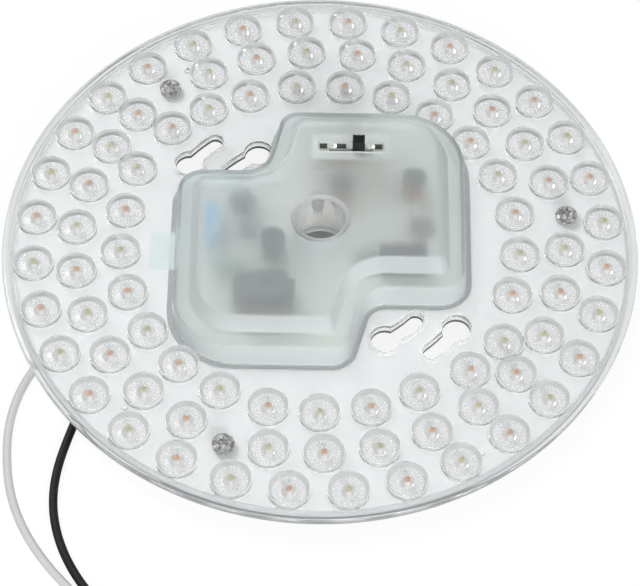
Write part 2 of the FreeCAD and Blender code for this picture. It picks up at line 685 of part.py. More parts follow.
def input_capacitor():
    diameter, length = INPUT_CAPACITOR
    shape = can(diameter, length)
    shape.rotate(vec(0, 0, 0), vec(0, 1, 0), 90)
    shape.translate(vec(INPUT_CAPACITOR_AT[0] - length / 2, INPUT_CAPACITOR_AT[1], Z_DRIVER + diameter / 2))
    return shape


def output_capacitor():
    shape = placed(can(*OUTPUT_CAPACITOR), OUTPUT_CAPACITOR_AT)
    shape.translate(vec(0, 0, Z_DRIVER))
    return shape


def film_capacitor():
    length, width, height = FILM_CAPACITOR
    return block(length, width, Z_DRIVER, Z_DRIVER + height, FILM_CAPACITOR_AT)


def varistor():
    diameter, thickness = VARISTOR
    start = vec(VARISTOR_AT[0], VARISTOR_AT[1] - thickness / 2, Z_DRIVER + diameter / 2)
    return Part.makeCylinder(diameter / 2, thickness, start, vec(0, 1, 0))


def fuse_resistor():
    diameter, length = FUSE_RESISTOR
    return lying(diameter / 2, length, Z_DRIVER, FUSE_RESISTOR_AT)


def chip_package(size, at, legs_per_side):
    """Moulded package with flat legs along its two long sides."""
    length, width, height = size
    body = block(length, width, Z_DRIVER, Z_DRIVER + height, at)
    pitch = length / legs_per_side
    legs = [block(LEG_W, width + 2 * LEG_L, Z_DRIVER, Z_DRIVER + LEG_T, middle)
            for middle in pin_places(legs_per_side, pitch, at)]
    return joined([body] + legs)


def power_transistor():
    length, width, height = POWER_TRANSISTOR
    x, y = POWER_TRANSISTOR_AT
    body = block(length, width, Z_DRIVER, Z_DRIVER + height, (x, y))
    tab = block(TAB_L, width, Z_DRIVER, Z_DRIVER + TAB_T, (x + length / 2, y))
    return joined([body, tab])


def signal_transistor():
    """Small half-round package that stands on three legs beside the tube."""
    width, depth, height = SIGNAL_TRANSISTOR
    x, y = SIGNAL_TRANSISTOR_AT
    low = Z_DRIVER + SIGNAL_LEG_H
    front = y - depth / 2
    round_body = cylinder(width / 2, low, low + height, (x, front + width / 2))
    body = round_body.common(block(width, depth, low, low + height, (x, y)))
    legs = [cylinder(LEG_W / 2, Z_DRIVER, low, at) for at in pin_places(3, SIGNAL_LEG_PITCH, (x, y))]
    return joined([body] + legs)


def choke(size, at):
    """Ferrite drum and the winding in its waist."""
    diameter, height = size
    r = diameter / 2
    low = Z_DRIVER + CHOKE_FLANGE
    high = Z_DRIVER + height - CHOKE_FLANGE
    drum = turned(((0, Z_DRIVER), (r, Z_DRIVER), (r, low), (CHOKE_WAIST, low), (CHOKE_WAIST, high),
                   (r, high), (r, Z_DRIVER + height), (0, Z_DRIVER + height)))
    return placed(drum, at), tube(r - WINDING_INSET, CHOKE_WAIST, low, high, at)


# Leads

def clamp_peg_places():
    return [(CLAMP_X, CLAMP_Y + side * CLAMP_PEG_SPAN / 2) for side in (-1, 1)]


def lead_clamp():
    """Block under the board with a nozzle for each lead, held by two pegs in the board."""
    low = Z_BOARD_BACK - CLAMP_H
    body = block(CLAMP_W, CLAMP_L, low, Z_BOARD_BACK, (CLAMP_X, CLAMP_Y))
    upright = [edge for edge in body.Edges if abs(edge.tangentAt(edge.FirstParameter).z) > 0.9]
    pieces = [body.makeFillet(CLAMP_CORNER_R, upright)]
    pieces += [cylinder(CLAMP_PEG_D / 2, Z_BOARD_BACK, Z_BOARD, at) for at in clamp_peg_places()]
    face = CLAMP_X - CLAMP_W / 2
    for route in (WHITE_ROUTE, BLACK_ROUTE):
        _, y, z = route[0]
        pieces.append(Part.makeCylinder(NOZZLE_D / 2, NOZZLE_L, vec(face - NOZZLE_L, y, z), vec(1, 0, 0)))
    return joined(pieces)


def lead_path(route):
    """Straight runs joined by tangent arcs, each as large as its two runs allow; prints the radii."""
    points = [vec(*point) for point in route]
    edges = []
    radii = []
    start = points[0]
    for before, corner, after in zip(points, points[1:], points[2:]):
        back = before - corner
        ahead = after - corner
        run = min(back.Length, ahead.Length)
        half_turn = (math.pi - back.getAngle(ahead)) / 2
        reach = 0.45 * run
        radius = reach / math.tan(half_turn)
        back.normalize()
        ahead.normalize()
        middle = (back + ahead).normalize() * (radius / math.cos(half_turn) - radius)
        enter = corner + back * reach
        leave = corner + ahead * reach
        edges.append(Part.LineSegment(start, enter).toShape())
        edges.append(Part.Arc(enter, corner + middle, leave).toShape())
        radii.append(round(radius, 1))
        start = leave
    edges.append(Part.LineSegment(start, points[-1]).toShape())
    print("radii", radii)
    return Part.Wire(edges)


def lead(name, route):
    path = lead_path(route)
    start = vec(*route[0])
    direction = vec(*route[1]) - start
    section = Part.Face(Part.Wire(Part.makeCircle(LEAD_D / 2, start, direction)))
    shape = path.makePipe(section)
    share = shape.Volume / (section.Area * path.Length)
    print("%s length %.1f, volume over section times length %.4f" % (name, path.Length, share))
    return shape


def tinned_end(route):
    end = vec(*route[-1])
    return Part.makeCylinder(CORE_D / 2, TINNED_L, end, end - vec(*route[-2]))


# All pieces

def component_nodes():
    core, bobbin, winding = transformer()
    power_drum, power_winding = choke(POWER_CHOKE, POWER_CHOKE_AT)
    line_drum, line_winding = choke(LINE_CHOKE, LINE_CHOKE_AT)
    return {
        "transformer_core": core,
        "transformer_bobbin": bobbin,
        "transformer_winding": winding,
        "input_capacitor": input_capacitor(),
        "output_capacitor": output_capacitor(),
        "film_capacitor": film_capacitor(),
        "varistor": varistor(),
        "fuse_resistor": fuse_resistor(),
        "bridge_rectifier": chip_package(RECTIFIER, RECTIFIER_AT, 2),
        "driver_ic": chip_package(DRIVER_IC, DRIVER_IC_AT, 4),
        "power_transistor": power_transistor(),
        "signal_transistor": signal_transistor(),
        "power_choke_core": power_drum,
        "power_choke_winding": power_winding,
        "line_choke_core": line_drum,
        "line_choke_winding": line_winding,
    }


def foot_nodes():
    nodes = {"screw_washers": screw_washers()}
    for i, at in enumerate(foot_places(), 1):
        nodes["magnet_cup_%d" % i] = magnet_cup(at)
        nodes["ring_magnet_%d" % i] = ring_magnet(at)
        nodes["standoff_%d" % i] = standoff(at)
        nodes["magnet_screw_%d" % i] = magnet_screw(at)
    return nodes


def lead_nodes():
    return {
        "lead_clamp": lead_clamp(),
        "white_lead": lead("white_lead", WHITE_ROUTE),
        "black_lead": lead("black_lead", BLACK_ROUTE),
        "white_lead_end": tinned_end(WHITE_ROUTE),
        "black_lead_end": tinned_end(BLACK_ROUTE),
    }


def main_nodes():
    places = led_places()
    return {
        "led_board": led_board(),
        "lens_cover": lens_cover(places),
        "driver_cover": driver_cover(),
        "warm_leds": led_group(places, "W"),
        "cool_leds": led_group(places, "G"),
        "insulation_tray": insulation_tray(),
        "driver_board": driver_board(),
        "board_pins": board_pins(),
        "switch_board": switch_board(),
        "switch_board_pins": switch_board_pins(),
        "chip_resistors": chip_resistors(),
        "switch_case": switch_case(),
        "switch_base": switch_base(),
        "switch_pins": switch_pins(),
        "switch_knob": switch_knob(),
        "switch_wiper": switch_wiper(),
    }


def export(nodes):
    os.makedirs("parts", exist_ok=True)
    for name, shape in nodes.items():
        shape.exportStep("parts/%s.step" % name)
        print("%-22s solids %3d  volume %10.1f  valid %s"
              % (name, len(shape.Solids), shape.Volume, shape.isValid()))


export({**main_nodes(), **component_nodes(), **foot_nodes(), **lead_nodes()})
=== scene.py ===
"""Looks of the round LED module, in metres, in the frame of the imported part.

The clear lens cover, the frosted driver cover, the LED packages and the leads are made anew as smooth
surfaces that lie where their solids lie. Solder and a few printed shapes are added. The other solids
stay as they are and get their finishes here.
"""

import json
import math

import bpy
import numpy as np
from mathutils import Matrix, Vector


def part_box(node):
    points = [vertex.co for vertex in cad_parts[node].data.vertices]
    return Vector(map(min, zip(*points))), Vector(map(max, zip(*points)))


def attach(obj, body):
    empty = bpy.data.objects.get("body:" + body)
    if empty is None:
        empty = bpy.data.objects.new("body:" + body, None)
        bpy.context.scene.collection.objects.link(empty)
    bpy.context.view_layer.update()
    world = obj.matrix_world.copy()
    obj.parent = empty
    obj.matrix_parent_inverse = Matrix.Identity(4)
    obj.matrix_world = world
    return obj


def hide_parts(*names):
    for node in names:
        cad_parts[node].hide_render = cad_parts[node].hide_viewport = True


MM = 0.001

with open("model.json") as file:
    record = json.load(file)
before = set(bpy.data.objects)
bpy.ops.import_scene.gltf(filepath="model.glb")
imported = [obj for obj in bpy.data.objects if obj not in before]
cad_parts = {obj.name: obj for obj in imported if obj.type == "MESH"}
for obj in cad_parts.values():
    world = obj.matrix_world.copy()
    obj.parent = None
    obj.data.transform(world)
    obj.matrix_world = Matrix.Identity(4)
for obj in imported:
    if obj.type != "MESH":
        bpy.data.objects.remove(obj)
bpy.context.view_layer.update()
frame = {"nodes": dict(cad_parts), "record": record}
NODES = frame["nodes"]

# Heights and radii that the frame gives
Z_BOARD_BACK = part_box("led_board")[0].z
Z_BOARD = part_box("led_board")[1].z
Z_SKIRT = Z_BOARD_BACK + 0.4 * MM
Z_PLATE_BACK = Z_BOARD + 0.9 * MM
Z_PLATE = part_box("screw_washers")[0].z
Z_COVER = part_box("driver_cover")[1].z
Z_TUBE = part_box("driver_cover")[0].z
Z_SWITCH_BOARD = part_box("switch_board")[1].z
DISC_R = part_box("lens_cover")[1].x

# Camera, fitted to the rings of LEDs in the photograph
PHOTO_W = 640
FOCAL_PX = 2679.0
CAMERA_AIM = Vector((0.19, -20.7, 12.8)) * MM
CAMERA_DISTANCE = 873.8 * MM
CAMERA_ELEVATION = 55.87
CAMERA_ROLL = 0.96
SENSOR_W = 36.0

# Lens cover
SKIRT_WALL = 1.3 * MM
SKIRT_DRAFT = 0.6 * MM
LIP_W = 2.8 * MM
LIP_H = 1.1 * MM
LIP_ROUND = 0.9 * MM
LAND_W = 2.0 * MM
LENS_R = 6.8 * MM
LENS_FLOOR_R = 5.5 * MM
LENS_RIM_W = 0.3 * MM
LENS_DRAFT = 0.1 * MM
LENS_RIM_H = 1.9 * MM
LENS_EDGE = 0.12 * MM
EYE_R = 2.35 * MM
EYE_H = 2.35 * MM
CONTACT_GAP = 0.06 * MM
LEDS_PER_COLOUR = 42
LED_L = 3.5 * MM
LED_W = 2.8 * MM
LED_EDGE = 0.12 * MM
PHOSPHOR_R = 0.95 * MM
PHOSPHOR_TOP = 0.35 * MM
PHOSPHOR_H = 0.3 * MM
COLLAR_GAP = 0.25 * MM
COLLAR_W = 0.8 * MM
COLLAR_H = 0.4 * MM
BOSS_R = 3.5 * MM
SCREW_HOLE_R = 1.7 * MM
PEG_R = 0.9 * MM
SEAM = 1e-3 * MM
PEGS = ((18.0 * MM, 122.7), (10.9 * MM, 303.6), (16.4 * MM, 226.2))
OPENING_CLEARANCE = 0.2 * MM
FOOT_W = 1.6 * MM
FOOT_RING_R = 83.0 * MM
FOOT_ANGLES = (9.2, 129.2, 249.2)

# Keyholes: radius of their circle, angle of the head, sweep of the slot
KEYHOLE_HEAD_R = 4.6 * MM
KEYHOLE_SLOT_HALF = 2.6 * MM
KEYHOLES = ((42.9 * MM, -60.0, 16.9), (55.2 * MM, -36.0, -12.9))

# Driver cover: corners of the outline at the board and their radii, in millimetres
COVER_CORNERS = (
    (-48.1, -47.3, 21.0), (9.4, -47.3, 7.0), (15.8, -23.4, 8.0), (48.3, -23.4, 9.0),
    (48.3, 49.6, 22.0), (-13.6, 49.6, 7.0), (-19.4, 24.8, 8.0), (-48.1, 24.8, 9.0))
COVER_WALL = 1.5 * MM
Z_SHOULDER = Z_BOARD + 10.4 * MM
SHOULDER_OUT = 0.5 * MM
SHOULDER_IN = 6.3 * MM
TOP_INSET = 7.9 * MM
MIN_CORNER_R = 2.0 * MM
BORE_R = 8.0 * MM
TUBE_R = 9.6 * MM
MOUTH_ROUND = 1.3 * MM
WINDOW_L = 20.8 * MM
WINDOW_W = 4.2 * MM
SWITCH_X = 9.7 * MM
SWITCH_Y = 29.1 * MM

# Chips in the window, with the solder at their ends
CHIP_COUNT = 4
CHIP_PITCH = 6.35 * MM
CHIP_L = 3.2 * MM
JOINT_L = 1.0 * MM
JOINT_H = 0.45 * MM
JOINT_TOE = 0.15 * MM
JOINT_INSET = 0.2 * MM

# Printed shapes on the LED board
MARK_W = 1.3 * MM
MARK_OUT = 4.4 * MM
MARK_T = 0.02 * MM
BAR_X = (-56.5 * MM, -44.0 * MM)
BAR_Y = (-10.5 * MM, 4.5 * MM)

# Studio: places of the lamps in metres, their power in watts, and shares of light
KEY_LAMP = ((-0.96, 1.02, 1.70), 10.2)
FRONT_LAMP = ((0.35, -1.35, 0.6), 8.0)
LAMP_SIZE = 0.6
FLOOR_HALF = 3.0
FLOOR_GLOW = 1.12
FLOOR_GLOW_SHARE = 0.78
GLOSS_SHARE = 0.3

# Leads: the routes of the solids, in millimetres
LEAD_D = 2.8 * MM
WHITE_ROUTE = (
    (-50.0, -23.6, 5.4), (-58.5, -23.6, 5.4), (-67.6, -25.0, 4.6), (-76.4, -28.4, 3.1),
    (-84.2, -34.0, 1.9), (-90.4, -41.4, 1.4), (-94.9, -50.0, 1.4), (-97.8, -59.4, 1.4),
    (-98.9, -69.2, 1.4), (-98.4, -79.0, 1.4), (-97.0, -88.6, 1.4), (-94.0, -98.2, 1.4),
    (-89.4, -107.4, 1.4), (-83.4, -116.0, 1.4), (-76.6, -123.6, 1.4), (-69.6, -130.6, 1.4),
    (-63.0, -137.6, 1.4))
BLACK_ROUTE = (
    (-50.0, -30.4, 5.4), (-57.0, -30.4, 5.4), (-64.0, -33.2, 4.7), (-69.6, -38.8, 3.4),
    (-73.2, -46.4, 2.2), (-75.4, -55.2, 1.6), (-77.6, -64.2, 1.4), (-80.2, -73.2, 1.4),
    (-82.2, -82.2, 1.4), (-82.9, -91.4, 1.4), (-81.9, -100.6, 1.4), (-79.3, -109.4, 1.4),
    (-75.2, -117.8, 1.4), (-70.0, -125.4, 1.4), (-63.6, -131.8, 1.4), (-57.2, -137.8, 1.4))


# Surfaces

def polar(radius, degrees):
    angle = math.radians(degrees)
    return radius * math.cos(angle), radius * math.sin(angle)


def add_object(name, points, faces):
    """Mesh object at the origin from an array of points and a list of faces."""
    mesh = bpy.data.meshes.new(name)
    mesh.from_pydata(np.asarray(points, float).tolist(), [], faces)
    mesh.update()
    piece = bpy.data.objects.new(name, mesh)
    bpy.context.scene.collection.objects.link(piece)
    return piece


def ring_faces(rings, around):
    """Quads between neighbouring rings of points, and one face over each end ring."""
    row = np.arange(rings - 1)[:, None] * around
    here = np.arange(around)[None, :]
    ahead = (here + 1) % around
    quads = np.stack([row + here, row + ahead, row + around + ahead, row + around + here], -1)
    low_cap = list(range(around - 1, -1, -1))
    high_cap = list(range((rings - 1) * around, rings * around))
    return quads.reshape(-1, 4).tolist() + [low_cap, high_cap]


def turned_rings(profile, segments):
    """Points (r cos t, r sin t, z) for every (r, z) of the profile and every step of the turn t."""
    profile = np.asarray(profile, float)
    turn = np.linspace(0.0, 2.0 * math.pi, segments, endpoint=False)
    x = profile[:, :1] * np.cos(turn)
    y = profile[:, :1] * np.sin(turn)
    z = np.repeat(profile[:, 1:], segments, 1)
    return np.stack([x, y, z], -1)


def turned(name, profile, segments, places=((0.0, 0.0),)):
    """Closed solids of revolution, one at each place: the profile runs upwards from axis to axis."""
    rings = turned_rings(profile, segments)
    count = rings.shape[0] * segments
    faces = ring_faces(rings.shape[0], segments)
    shift = np.zeros((len(places), 1, 3))
    shift[:, 0, :2] = places
    points = (rings.reshape(1, -1, 3) + shift).reshape(-1, 3)
    every = [[v + count * i for v in face] for i in range(len(places)) for face in faces]
    return add_object(name, points, every)


def rod_profile(radius, low, high):
    """Profile of a plain round rod. Its ends start SEAM from the axis, as every turned profile does."""
    return (SEAM, low), (radius, low), (radius, high), (SEAM, high)


def turned_loops(name, section, segments, places):
    """Rings with a closed section, one at each place: the section runs round anticlockwise."""
    loops = turned_rings(section, segments)
    rows = loops.shape[0]
    row = np.arange(rows)[:, None] * segments
    after = (np.arange(rows)[:, None] + 1) % rows * segments
    here = np.arange(segments)[None, :]
    ahead = (here + 1) % segments
    quads = np.stack([row + here, row + ahead, after + ahead, after + here], -1).reshape(-1, 4)
    shift = np.zeros((len(places), 1, 3))
    shift[:, 0, :2] = places
    points = (loops.reshape(1, -1, 3) + shift).reshape(-1, 3)
    every = quads[None] + (np.arange(len(places)) * rows * segments)[:, None, None]
    return add_object(name, points, every.reshape(-1, 4).tolist())


def prism(name, outline, low, high):
    """Solid between two heights over a flat outline."""
    outline = np.asarray(outline, float)
    count = len(outline)
    points = np.zeros((2, count, 3))
    points[:, :, :2] = outline
    points[0, :, 2] = low
    points[1, :, 2] = high
    return add_object(name, points.reshape(-1, 3), ring_faces(2, count))


def box_solid(name, low, high):
    corners = np.array([(low[0], low[1]), (high[0], low[1]), (high[0], high[1]), (low[0], high[1])])
    return prism(name, corners, low[2], high[2])


def work_out(base, tools, operation):
    """Joins the tools to the base or takes them away, and deletes them."""
    for tool in tools:
        step = base.modifiers.new("step", "BOOLEAN")
        step.operation = operation
        step.solver = "MANIFOLD"
        step.object = tool
    graph = bpy.context.evaluated_depsgraph_get()
    base.data = bpy.data.meshes.new_from_object(base.evaluated_get(graph))
    base.modifiers.clear()
    for tool in tools:
        bpy.data.objects.remove(tool)


def smooth(piece, sharp_degrees):
    piece.data.shade_smooth()
    piece.data.set_sharp_from_angle(angle=math.radians(sharp_degrees))


def arc_points(centre, radius, start, end, count):
    """Points on a circle, from one angle to another in degrees."""
    turn = np.radians(np.linspace(start, end, count))
    return np.stack([centre[0] + radius * np.cos(turn), centre[1] + radius * np.sin(turn)], -1)


# Outlines

def cover_outline(inset):
    """The driver cover's outline moved inwards, with the same number of points at every inset.

    A corner is an arc of radius r tangent to its two sides: its middle lies r / sin(half) from the
    corner on the bisector, and it starts r / tan(half) from the corner.
    """
    steps = 14
    corners = np.array(COVER_CORNERS) * MM
    ahead = np.roll(corners[:, :2], -1, 0) - corners[:, :2]
    ahead /= np.linalg.norm(ahead, axis=1)[:, None]
    inward = np.stack([-ahead[:, 1], ahead[:, 0]], -1)
    before = np.roll(ahead, 1, 0)
    turn = before[:, 0] * ahead[:, 1] - before[:, 1] * ahead[:, 0]
    moved = corners[:, :2] + inset * (np.roll(inward, 1, 0) + inward) / (
        1.0 + np.sum(np.roll(inward, 1, 0) * inward, 1))[:, None]
    radius = np.maximum(corners[:, 2] - inset * np.sign(turn), MIN_CORNER_R)
    half = (math.pi - np.abs(np.arcsin(np.clip(turn, -1.0, 1.0)))) / 2.0
    bisector = ahead - before
    bisector /= np.linalg.norm(bisector, axis=1)[:, None]
    middle = moved + bisector * (radius / np.sin(half))[:, None]
    start = moved - before * (radius / np.tan(half))[:, None] - middle
    angle = np.arctan2(start[:, 1], start[:, 0])
    sweep = np.sign(turn) * (math.pi - 2.0 * half)
    t = angle[:, None] + sweep[:, None] * np.linspace(0.0, 1.0, steps)[None, :]
    x = middle[:, :1] + radius[:, None] * np.cos(t)
    y = middle[:, 1:] + radius[:, None] * np.sin(t)
    return np.stack([x, y], -1).reshape(-1, 2)


def cover_levels(name, levels):
    """Closed solid through the driver cover's outline at (inset, height) levels."""
    rings = []
    for inset, z in levels:
        flat = cover_outline(inset)
        rings.append(np.column_stack([flat, np.full(len(flat), z)]))
    rings = np.array(rings)
    return add_object(name, rings.reshape(-1, 3), ring_faces(len(rings), rings.shape[1]))


def keyhole_outline(radius, head_angle, sweep, margin):
    """Round head, then the slot's two sides on circles round the centre and its round end.

    A side at radius s meets the head's circle of radius r at the angle a from the head with
    cos a = (R^2 + s^2 - r^2) / (2 R s), where R is the radius of the keyhole's own circle.
    """
    head_r = KEYHOLE_HEAD_R + margin
    half = KEYHOLE_SLOT_HALF + margin
    sign = math.copysign(1.0, sweep)
    middle = polar(radius, head_angle)
    meets = []
    for side_r in (radius - half, radius + half):
        apart = math.acos((radius ** 2 + side_r ** 2 - head_r ** 2) / (2.0 * radius * side_r))
        angle = head_angle + sign * math.degrees(apart)
        x, y = polar(side_r, angle)
        meets.append((angle, math.degrees(math.atan2(y - middle[1], x - middle[0]))))
    (inner_from, start), (outer_from, stop) = meets
    round_head = sign * ((sign * (stop - start)) % 360.0)
    end_angle = head_angle + sweep
    head = arc_points(middle, head_r, start, start + round_head, 40)
    outer = arc_points((0.0, 0.0), radius + half, outer_from, end_angle, 8)[1:]
    end = arc_points(polar(radius, end_angle), half, end_angle, end_angle + 180.0 * sign, 20)[1:-1]
    inner = arc_points((0.0, 0.0), radius - half, end_angle, inner_from, 8)[:-1]
    outline = np.concatenate([head, outer, end, inner])
    return outline if sign > 0 else outline[::-1]


def keyhole_solids(name, margin, low, high):
    solids = []
    for radius, head_angle, sweep in KEYHOLES:
        for half_turn in (0.0, 180.0):
            outline = keyhole_outline(radius, head_angle + half_turn, sweep, margin)
            solids.append(prism(name, outline, low, high))
    return solids


def package_places(node):
    """Middles of the LED packages of one colour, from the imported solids, whose points lie in order."""
    mesh = NODES[node].data
    points = np.zeros(len(mesh.vertices) * 3)
    mesh.vertices.foreach_get("co", points)
    return points.reshape(LEDS_PER_COLOUR, -1, 3).mean(1)[:, :2]


def led_centres():
    return np.concatenate([package_places("warm_leds"), package_places("cool_leds")])


# Lens cover

def plate_profile():
    """Half section of the plate with its rounded lip and its skirt, from the axis round to the axis."""
    skirt_r = DISC_R - SKIRT_DRAFT
    lip_top = Z_PLATE + LIP_H
    land_r = skirt_r - SKIRT_WALL - LAND_W
    turn = np.linspace(0.0, math.pi / 2, 6)
    lip_out = np.stack([DISC_R - LIP_ROUND + LIP_ROUND * np.cos(turn),
                        lip_top - LIP_ROUND + LIP_ROUND * np.sin(turn)], -1)
    inner = [(DISC_R - LIP_W, lip_top), (DISC_R - LIP_W - LIP_H, Z_PLATE), (1e-4 * MM, Z_PLATE)]
    seat = Z_BOARD + CONTACT_GAP
    outer = [(1e-4 * MM, Z_PLATE_BACK), (land_r, Z_PLATE_BACK), (land_r, seat),
             (skirt_r - SKIRT_WALL, seat), (skirt_r - SKIRT_WALL, Z_SKIRT), (skirt_r, Z_SKIRT)]
    return outer + lip_out.tolist() + inner


def rim_section():
    """Section of the raised rim round one dish, from its outer foot over the top to its inner foot."""
    root = (Z_PLATE_BACK + Z_PLATE) / 2
    top = Z_PLATE + LENS_RIM_H
    outer_r = LENS_R - LENS_DRAFT
    inner_r = outer_r - LENS_RIM_W
    turn = np.linspace(0.0, math.pi / 2, 4)
    outside = np.stack([outer_r - LENS_EDGE + LENS_EDGE * np.cos(turn),
                        top - LENS_EDGE + LENS_EDGE * np.sin(turn)], -1)
    inside = np.stack([inner_r + LENS_EDGE - LENS_EDGE * np.sin(turn),
                       top - LENS_EDGE + LENS_EDGE * np.cos(turn)], -1)
    fillet = [(LENS_FLOOR_R + 0.05 * MM, Z_PLATE + 0.25 * MM), (LENS_FLOOR_R - 0.15 * MM, Z_PLATE)]
    return ([(LENS_R, root), (LENS_R, Z_PLATE)] + outside.tolist() + inside.tolist() + fillet
            + [(LENS_FLOOR_R - 0.15 * MM, root)])


def eye_profile():
    """Round eye: a small fillet at its foot, then a quarter of an ellipse up to the axis."""
    root = (Z_PLATE_BACK + Z_PLATE) / 2
    turn = np.linspace(0.12, math.pi / 2 * 0.985, 9)
    dome = np.stack([EYE_R * np.cos(turn), Z_PLATE + EYE_H * np.sin(turn)], -1)
    foot = [(SEAM, root), (EYE_R + 0.3 * MM, root), (EYE_R + 0.3 * MM, Z_PLATE),
            (EYE_R + 0.08 * MM, Z_PLATE + 0.1 * MM)]
    return foot + dome.tolist()


def face_data(mesh):
    """Middle and normal of every face, as two arrays."""
    middles = np.zeros(len(mesh.polygons) * 3)
    normals = np.zeros(len(mesh.polygons) * 3)
    mesh.polygons.foreach_get("center", middles)
    mesh.polygons.foreach_get("normal", normals)
    return middles.reshape(-1, 3), normals.reshape(-1, 3)


def split_finishes(piece, finishes, picks):
    """Gives the piece the first finish, and each later one to the faces that its mask picks."""
    piece.data.materials.clear()
    for finish in finishes:
        piece.data.materials.append(finish)
    index = np.zeros(len(piece.data.polygons), np.int32)
    for number, pick in enumerate(picks):
        index[pick] = number + 1
    piece.data.polygons.foreach_set("material_index", index)


def dress_lens_cover(cover, places):
    """Fine grain on the floors of the dishes and the walls of the openings, satin greyed with painted
    shade on the walls of the dishes, a finish of its own on the eyes and on the lip, and clear plastic on
    the rest.
    """
    middles, normals = face_data(cover.data)
    apart = middles[:, None, :2] - places[None]
    from_eye = np.sqrt((apart ** 2).sum(-1)).min(1)
    raised = middles[:, 2] > Z_PLATE + 0.02 * MM
    level = np.abs(middles[:, 2] - Z_PLATE) < 0.02 * MM
    floor = level & (from_eye < LENS_FLOOR_R)
    steep = raised & (normals[:, 2] < 0.9)
    # Dish walls: their satin grey is partly painted shade.
    wall = steep & (from_eye < LENS_R - 0.45 * MM) & (from_eye > LENS_FLOOR_R - 0.3 * MM)
    eye = raised & (from_eye < EYE_R + 0.2 * MM)
    within = np.hypot(middles[:, 0], middles[:, 1]) < DISC_R - LIP_W - LIP_H - MM
    floor |= within & (from_eye > LENS_R + 0.1 * MM) & (np.abs(normals[:, 2]) < 0.5)
    lip = (np.hypot(middles[:, 0], middles[:, 1]) > DISC_R - LIP_W - 1.2 * LIP_H) & (normals[:, 2] > -0.5)
    lip &= middles[:, 2] > Z_BOARD_BACK
    split_finishes(cover, [materials[name] for name in LENS_FINISHES],
                   [floor, wall, eye, lip & (from_eye > LENS_R)])


def make_lens_cover():
    places = led_centres()
    feet = [polar(FOOT_RING_R, angle) for angle in FOOT_ANGLES]
    seat = Z_BOARD + CONTACT_GAP
    cover = turned("clear_lens_cover", plate_profile(), 256)
    rims = turned_loops("rims", rim_section(), 48, places)
    eyes = turned("eyes", eye_profile(), 32, places)
    bosses = turned("bosses", rod_profile(BOSS_R, seat, Z_PLATE - 0.3 * MM), 48, feet)
    root = Z_PLATE_BACK + 0.3 * MM
    pegs = turned("pegs", rod_profile(PEG_R, Z_BOARD_BACK, root), 24,
                  [polar(DISC_R - inset, angle) for inset, angle in PEGS])
    collars = keyhole_solids("collar", COLLAR_GAP + COLLAR_W, seat, Z_PLATE + COLLAR_H)
    work_out(cover, [rims, eyes, bosses, pegs] + collars, "UNION")
    above = Z_PLATE + 5.0 * MM
    below = Z_BOARD_BACK - 1.0 * MM
    cuts = keyhole_solids("keyhole", COLLAR_GAP, below, above)
    cuts.append(turned("screw_holes", rod_profile(SCREW_HOLE_R, below, above), 32, feet))
    cuts.append(prism("opening", cover_outline(-OPENING_CLEARANCE), below, above))
    cuts.append(prism("recess", cover_outline(-FOOT_W - OPENING_CLEARANCE), below, Z_PLATE_BACK))
    work_out(cover, cuts, "DIFFERENCE")
    smooth(cover, 35.0)
    dress_lens_cover(cover, places)
    return cover


# LED packages

def package_shape(low, high):
    """One package round the axis: sides and chamfer, and a round post that ends in a phosphor dome.

    The dome's top lies PHOSPHOR_TOP below the top of the eye.
    """
    rings = []
    for inset, z in ((0.0, low), (0.0, high - LED_EDGE), (LED_EDGE, high)):
        x = LED_W / 2 - inset
        y = LED_L / 2 - inset
        rings += [(x, -y, z), (x, y, z), (-x, y, z), (-x, -y, z)]
    faces = [[3, 2, 1, 0]]
    for ring in (0, 4):
        faces += [[ring + i, ring + (i + 1) % 4, ring + 4 + (i + 1) % 4, ring + 4 + i] for i in range(4)]
    faces.append([8, 9, 10, 11])
    top = Z_PLATE + EYE_H - PHOSPHOR_TOP
    profile = ((PHOSPHOR_R, high - LED_EDGE), (PHOSPHOR_R, top - PHOSPHOR_H),
               (PHOSPHOR_R * 0.75, top - 0.08 * MM), (PHOSPHOR_R * 0.3, top))
    post = turned_rings(profile, 10).reshape(-1, 3)
    faces += [[12 + v for v in face] for face in ring_faces(len(profile), 10)]
    return np.concatenate([rings, post]), faces


def make_packages(node, slot):
    """White packages with phosphor windows on the places of the solids, each turned to the axis."""
    places = package_places(node)
    low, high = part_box(node)
    shape, faces = package_shape(low.z, high.z)
    angle = np.arctan2(places[:, 1], places[:, 0])
    c = np.cos(angle)[:, None]
    s = np.sin(angle)[:, None]
    x = places[:, :1] + c * shape[:, 0] - s * shape[:, 1]
    y = places[:, 1:] + s * shape[:, 0] + c * shape[:, 1]
    z = np.repeat(shape[None, :, 2], len(places), 0)
    every = [[v + len(shape) * i for v in face] for i in range(len(places)) for face in faces]
    piece = add_object("lit_" + node, np.stack([x, y, z], -1).reshape(-1, 3), every)
    middles, normals = face_data(piece.data)
    dome = middles[:, 2] > Z_PLATE + EYE_H - PHOSPHOR_TOP - PHOSPHOR_H - 0.01 * MM
    split_finishes(piece, [materials["led_frame"], materials[slot]], [dome])
    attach(piece, "module")
    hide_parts(node)


# Small things on the two boards

